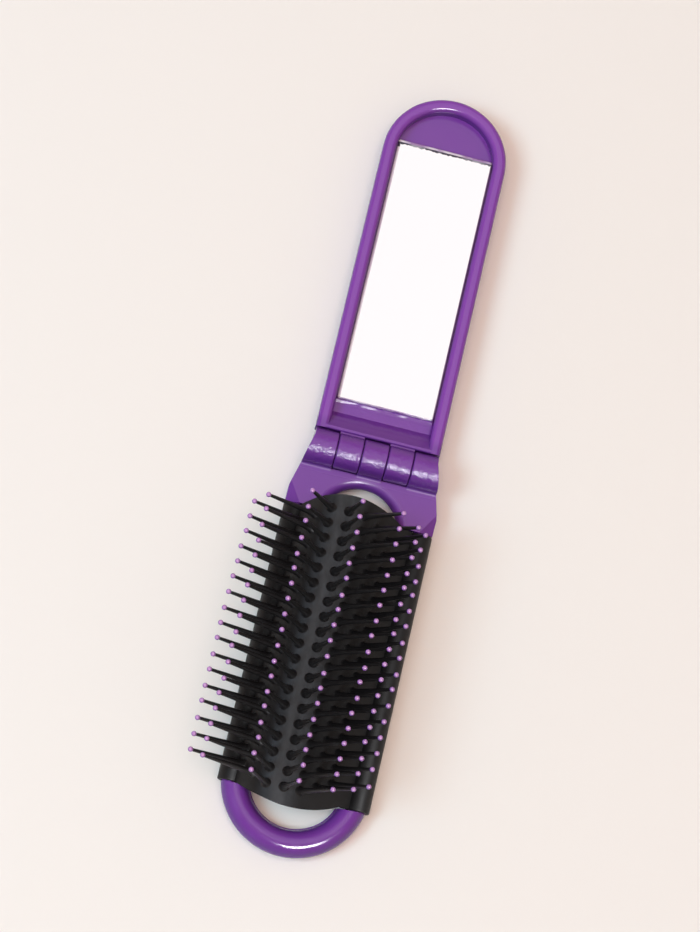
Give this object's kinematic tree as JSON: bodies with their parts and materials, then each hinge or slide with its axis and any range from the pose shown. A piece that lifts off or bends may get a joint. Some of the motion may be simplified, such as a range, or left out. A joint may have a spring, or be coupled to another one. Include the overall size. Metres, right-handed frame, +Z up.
{
  "type": "folding hairbrush",
  "caption": "Folding travel hairbrush: a bristle pad in an open frame hinged to a shallow tray with a mirror, with a hanging loop at the brush end",
  "frame": {"origin": "on the underside, straight below the middle of the hinge axis", "axes": "X runs across the brush, Y runs along it from the hanging loop to the round end of the mirror half, and Z points up, the way the bristles and the mirror face"},
  "size_m": [0.0499, 0.2105, 0.0331],
  "materials": {
    "purple_plastic": "glossy moulded plastic, solid purple",
    "pad_rubber": "satin black rubber",
    "pin_nylon": "satin black nylon",
    "ball_plastic": "glossy lilac plastic",
    "mirror": "silvered plate with ground edges",
    "tape": "thin white foam tape",
    "steel": "plain drawn wire"
  },
  "bodies": {
    "base": {"base_frame": "purple_plastic", "hinge_pin": "steel", "pad_sheet": "pad_rubber", "pad_clip_left": "pad_rubber", "pad_clip_right": "pad_rubber"},
    "mirror_half": {"mirror_frame": "purple_plastic", "mirror_glass": "mirror", "mirror_tape": "tape"},
    "row_1": {"pin_row_1": "pin_nylon", "pin_tips_1": "ball_plastic"},
    "row_2": {"pin_row_2": "pin_nylon", "pin_tips_2": "ball_plastic"},
    "row_3": {"pin_row_3": "pin_nylon", "pin_tips_3": "ball_plastic"},
    "row_4": {"pin_row_4": "pin_nylon", "pin_tips_4": "ball_plastic"},
    "row_5": {"pin_row_5": "pin_nylon", "pin_tips_5": "ball_plastic"},
    "row_6": {"pin_row_6": "pin_nylon", "pin_tips_6": "ball_plastic"},
    "row_7": {"pin_row_7": "pin_nylon", "pin_tips_7": "ball_plastic"}
  },
  "joints": [
    {"name": "mirror_fold", "type": "hinge", "parent": "base", "child": "mirror_half", "pos_m": [0, 0, 0.0085], "axis": [1, 0, 0], "range_deg": [0, 180], "deforming": ["pad_sheet"]},
    {"name": "row_1_retract", "type": "hinge", "parent": "base", "child": "row_1", "pos_m": [-0.03015, -0.0537, -0.00557], "axis": [0, 1, 0], "range_deg": [0, 50.04]},
    {"name": "row_2_retract", "type": "hinge", "parent": "base", "child": "row_2", "pos_m": [-0.03372, -0.0537, -0.00321], "axis": [0, 1, 0], "range_deg": [0, 46.26]},
    {"name": "row_3_retract", "type": "hinge", "parent": "base", "child": "row_3", "pos_m": [-0.06663, -0.0537, -0.00829], "axis": [0, 1, 0], "range_deg": [0, 21.6]},
    {"name": "row_4_retract", "type": "hinge", "parent": "base", "child": "row_4", "pos_m": [0.14227, -0.0537, 0.0251], "axis": [0, 1, 0], "range_deg": [-9.36, 0]},
    {"name": "row_5_retract", "type": "hinge", "parent": "base", "child": "row_5", "pos_m": [0.0534, -0.0537, 0.00987], "axis": [0, 1, 0], "range_deg": [-24.48, 0]},
    {"name": "row_6_retract", "type": "hinge", "parent": "base", "child": "row_6", "pos_m": [0.04552, -0.0537, 0.00791], "axis": [0, 1, 0], "range_deg": [-28.8, 0]},
    {"name": "row_7_retract", "type": "hinge", "parent": "base", "child": "row_7", "pos_m": [0.04411, -0.0537, 0.00692], "axis": [0, 1, 0], "range_deg": [-29.7, 0]}
  ],
  "couplings": [
    {"joint": "row_1_retract", "follows": "mirror_fold", "ratio": 0.278},
    {"joint": "row_2_retract", "follows": "mirror_fold", "ratio": 0.257},
    {"joint": "row_3_retract", "follows": "mirror_fold", "ratio": 0.12},
    {"joint": "row_4_retract", "follows": "mirror_fold", "ratio": -0.052},
    {"joint": "row_5_retract", "follows": "mirror_fold", "ratio": -0.136},
    {"joint": "row_6_retract", "follows": "mirror_fold", "ratio": -0.16},
    {"joint": "row_7_retract", "follows": "mirror_fold", "ratio": -0.165}
  ]
}
